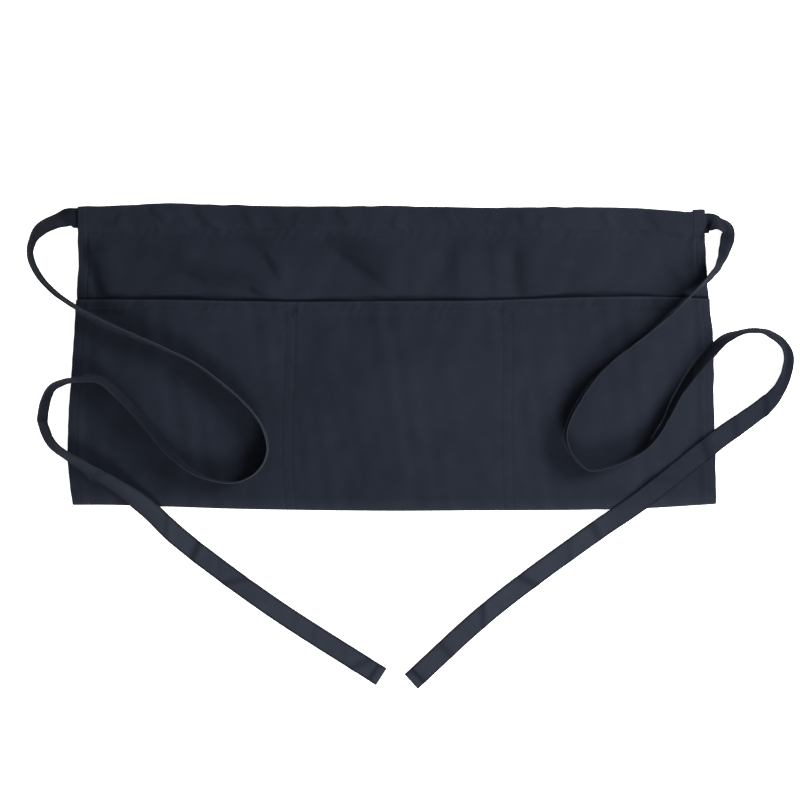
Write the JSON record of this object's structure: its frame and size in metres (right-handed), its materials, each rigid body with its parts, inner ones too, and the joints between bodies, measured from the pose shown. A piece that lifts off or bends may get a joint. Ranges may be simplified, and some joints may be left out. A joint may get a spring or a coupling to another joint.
{
  "type": "waist apron",
  "caption": "Waist apron laid flat, front up: body cloth with turned hems, folded-up pockets with stitched dividers, tube casing and two long flat ties in loose loops.",
  "frame": {"origin": "middle of the apron's outline without its ties, on the surface that it lies on", "axes": "+X along the waist, +Y to the waist edge, +Z out of the front of the cloth"},
  "size_m": [0.729, 0.4607, 0.0277],
  "materials": {
    "apron_cloth": "dark navy black twill with a soft sheen",
    "tie_cloth": "the same twill, folded and edge stitched, a little lighter"
  },
  "bodies": {
    "root": {"back_panel": "apron_cloth", "side_hem_left": "apron_cloth", "side_hem_right": "apron_cloth", "waist_casing": "apron_cloth", "pocket_front": "apron_cloth", "pocket_mouth_hem": "apron_cloth", "tie_left": "tie_cloth", "tie_right": "tie_cloth"}
  },
  "joints": []
}
